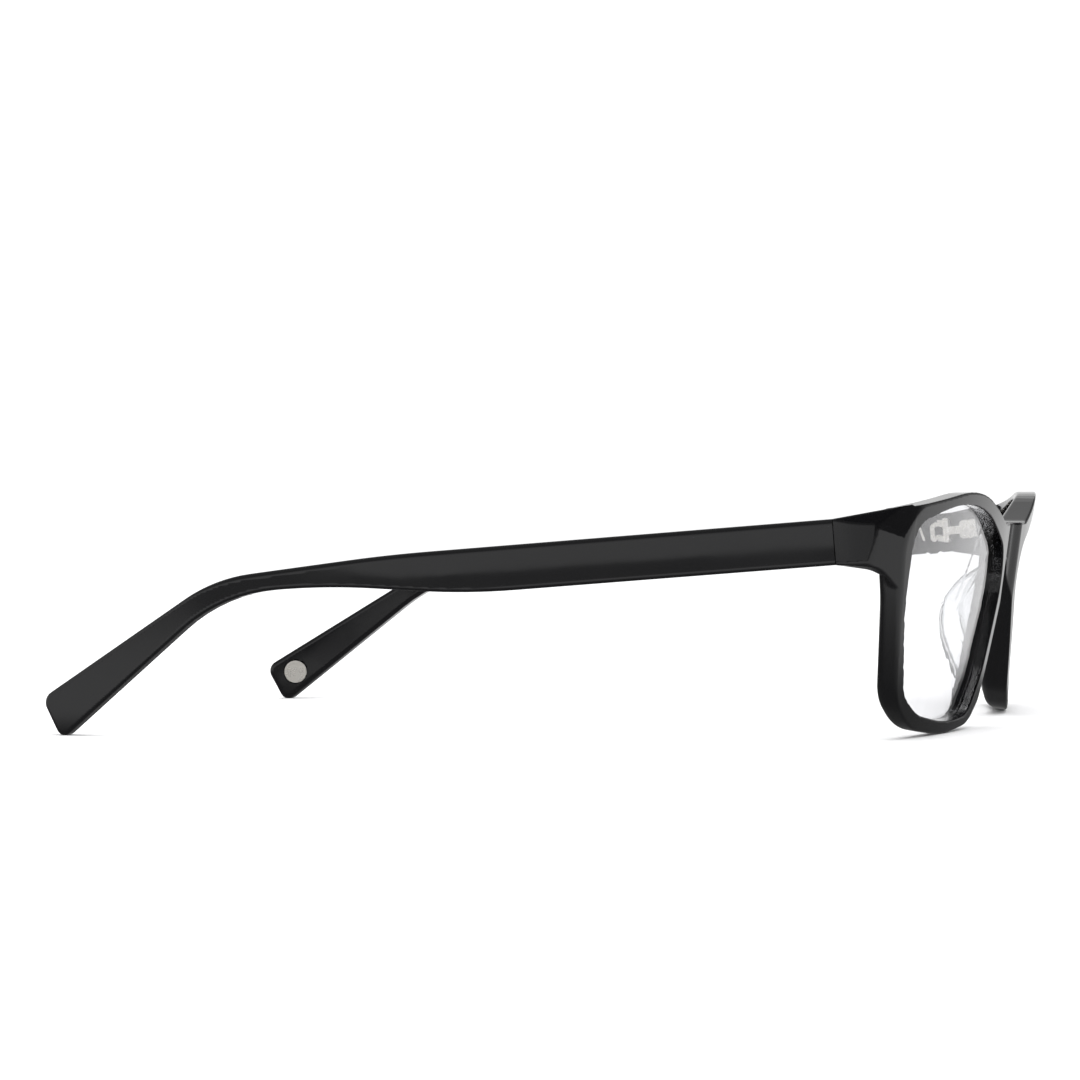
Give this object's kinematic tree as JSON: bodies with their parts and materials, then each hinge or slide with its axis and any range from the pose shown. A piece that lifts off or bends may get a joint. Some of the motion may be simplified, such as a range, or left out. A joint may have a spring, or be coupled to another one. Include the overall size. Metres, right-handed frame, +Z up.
{
  "type": "eyeglasses frame",
  "caption": "Rectangular full-rim plastic eyeglasses frame with clear lenses and nose pads, and folding temples on barrel hinges, shown open.",
  "frame": {"origin": "on the ground under the middle of the open frame: mid-plane of the bridge, halfway between the front of the brow and the temple tips", "axes": "+X to the wearer's left, +Y from the front back along the open temples, +Z up"},
  "size_m": [0.136, 0.152, 0.0395],
  "materials": {
    "acetate_black": "polished black acetate",
    "clear_lens": "clear polished demonstration lens",
    "clear_pad": "clear moulded plastic",
    "nickel_hinge": "satin nickel silver",
    "wire_steel": "plain drawn wire"
  },
  "bodies": {
    "front": {"frame_front": "acetate_black", "lens_left": "clear_lens", "lens_right": "clear_lens", "nose_pad_left": "clear_pad", "nose_pad_right": "clear_pad", "front_hinge_leaf_left": "nickel_hinge", "front_hinge_leaf_right": "nickel_hinge"},
    "temple_left_body": {"temple_left": "acetate_black", "temple_hinge_leaf_left": "nickel_hinge", "hinge_screw_left": "nickel_hinge", "temple_core_wire_left": "wire_steel", "tip_disc_left": "nickel_hinge"},
    "temple_right_body": {"temple_right": "acetate_black", "temple_hinge_leaf_right": "nickel_hinge", "hinge_screw_right": "nickel_hinge", "temple_core_wire_right": "wire_steel", "tip_disc_right": "nickel_hinge"}
  },
  "joints": [
    {"name": "fold_left", "type": "hinge", "parent": "front", "child": "temple_left_body", "pos_m": [0.0633, -0.05545, 0.0316], "axis": [0, 0.075, 0.9972], "range_deg": [0, 90.6]},
    {"name": "fold_right", "type": "hinge", "parent": "front", "child": "temple_right_body", "pos_m": [-0.0633, -0.05545, 0.0316], "axis": [0, -0.075, -0.9972], "range_deg": [0, 83.4]}
  ]
}
